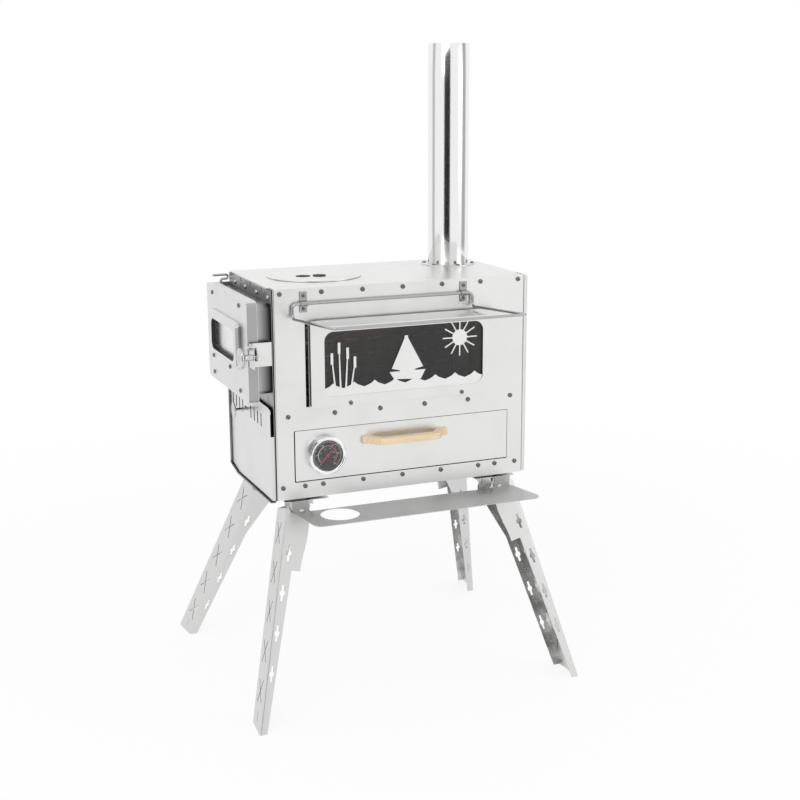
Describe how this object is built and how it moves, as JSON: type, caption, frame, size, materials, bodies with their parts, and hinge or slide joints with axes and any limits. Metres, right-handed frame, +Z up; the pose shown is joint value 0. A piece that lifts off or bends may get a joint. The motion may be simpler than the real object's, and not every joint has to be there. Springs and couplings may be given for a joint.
{
  "type": "tent wood stove",
  "caption": "Folding-leg steel tent stove with a side fire door, front viewing window, baking drawer, swinging wire rack, front shelf and lift-off flue pipe.",
  "frame": {"origin": "centre of the footprint on the floor", "axes": "+Z up along the flue, +X towards the flue end away from the fire door, +Y from the window front to the back"},
  "size_m": [0.5851, 0.5883, 1.047],
  "materials": {
    "panel_steel": "fine brushed, satin",
    "leg_steel": "brushed, satin",
    "interior_steel": "dull, heat darkened",
    "pipe_steel": "polished",
    "wire_steel": "bright drawn wire",
    "fastener_steel": "machined, bright",
    "gauge_chrome": "polished",
    "dial_black": "matt black",
    "pointer_red": "satin red",
    "handle_wood": "pale, oiled",
    "stove_glass": "clear heat-proof glass",
    "rope_gasket": "woven glass-fibre rope"
  },
  "bodies": {
    "stove_body": {"front_panel": "panel_steel", "body_shell": "panel_steel", "top_plate": "panel_steel", "left_end_wall": "panel_steel", "left_end_cover": "panel_steel", "right_end_cover": "panel_steel", "door_collar": "panel_steel", "latch_keeper": "panel_steel", "hinge_leaf": "panel_steel", "window_frame": "panel_steel", "window_screen": "panel_steel", "flue_collar": "panel_steel", "shelf": "panel_steel", "bracket_front_left": "panel_steel", "bracket_front_right": "panel_steel", "bracket_rear_left": "panel_steel", "bracket_rear_right": "panel_steel", "rack_clips": "panel_steel", "firebox_floor": "interior_steel", "grate": "interior_steel", "rear_liner": "interior_steel", "baffle": "interior_steel", "drawer_runners": "interior_steel", "slider_guides": "interior_steel", "hinge_pin": "wire_steel", "pivot_bolts": "fastener_steel", "bracket_studs": "fastener_steel", "wing_nuts": "fastener_steel", "front_screws": "fastener_steel", "end_screws": "fastener_steel", "flue_screws": "fastener_steel", "window_glass": "stove_glass", "window_gasket": "rope_gasket"},
    "fire_door": {"door_pan": "panel_steel", "door_window_frame": "panel_steel", "door_glass": "stove_glass", "door_glass_clamp": "interior_steel", "door_liner": "panel_steel", "door_ear": "panel_steel", "door_knuckles": "panel_steel", "door_rivets": "fastener_steel"},
    "latch": {"latch_knob": "fastener_steel"},
    "air_control": {"air_slider": "interior_steel", "air_knob": "fastener_steel"},
    "drawer": {"drawer_front": "panel_steel", "drawer_box": "interior_steel", "drawer_handle": "handle_wood", "gauge_case": "gauge_chrome", "gauge_dial": "dial_black"},
    "pointer": {"gauge_pointer": "pointer_red"},
    "rack": {"wire_rack": "wire_steel"},
    "lid": {"hotplate_lid": "panel_steel"},
    "flue": {"flue_pipe": "pipe_steel"},
    "front_left_leg": {"leg_front_left": "leg_steel"},
    "front_right_leg": {"leg_front_right": "leg_steel"},
    "rear_left_leg": {"leg_rear_left": "leg_steel"},
    "rear_right_leg": {"leg_rear_right": "leg_steel"}
  },
  "joints": [
    {"name": "fire_door_hinge", "type": "hinge", "parent": "stove_body", "child": "fire_door", "pos_m": [-0.229, 0.1461, 0.584], "axis": [0, 0, -1], "range_deg": [0, 150]},
    {"name": "latch_turn", "type": "hinge", "parent": "fire_door", "child": "latch", "pos_m": [-0.255, -0.1224, 0.5815], "axis": [-1, 0, 0], "range_deg": [0, 90]},
    {"name": "air_slide", "type": "slide", "parent": "stove_body", "child": "air_control", "axis": [0, 1, 0], "range_m": [0, 0.00965]},
    {"name": "drawer_slide", "type": "slide", "parent": "stove_body", "child": "drawer", "axis": [0, -1, 0], "range_m": [0, 0.2]},
    {"name": "pointer_turn", "type": "hinge", "parent": "drawer", "child": "pointer", "pos_m": [-0.1334, -0.1109, 0.4125], "axis": [0, 1, 0], "range_deg": [-180, 90]},
    {"name": "rack_swing", "type": "hinge", "parent": "stove_body", "child": "rack", "pos_m": [-0.0331, -0.1055, 0.655], "axis": [-1, 0, 0], "range_deg": [0, 90]},
    {"name": "lid_lift", "type": "slide", "parent": "stove_body", "child": "lid", "axis": [0, 0, 1], "range_m": [0, 0.05]},
    {"name": "flue_lift", "type": "slide", "parent": "stove_body", "child": "flue", "axis": [0, 0, 1], "range_m": [0, 0.06]},
    {"name": "front_left_leg_fold", "type": "hinge", "parent": "stove_body", "child": "front_left_leg", "pos_m": [-0.175, -0.0743, 0.314], "axis": [0, -0.9598, 0.2807], "range_deg": [0, 103.2]},
    {"name": "rear_left_leg_fold", "type": "hinge", "parent": "stove_body", "child": "rear_left_leg", "pos_m": [-0.175, 0.1149, 0.308], "axis": [0, -0.9011, -0.4337], "range_deg": [0, 104.4]},
    {"name": "front_right_leg_fold", "type": "hinge", "parent": "stove_body", "child": "front_right_leg", "pos_m": [0.172, -0.0743, 0.314], "axis": [0, 0.9598, -0.2807], "range_deg": [0, 96.7]},
    {"name": "rear_right_leg_fold", "type": "hinge", "parent": "stove_body", "child": "rear_right_leg", "pos_m": [0.172, 0.1149, 0.308], "axis": [0, 0.9011, 0.4337], "range_deg": [0, 94.1]}
  ]
}
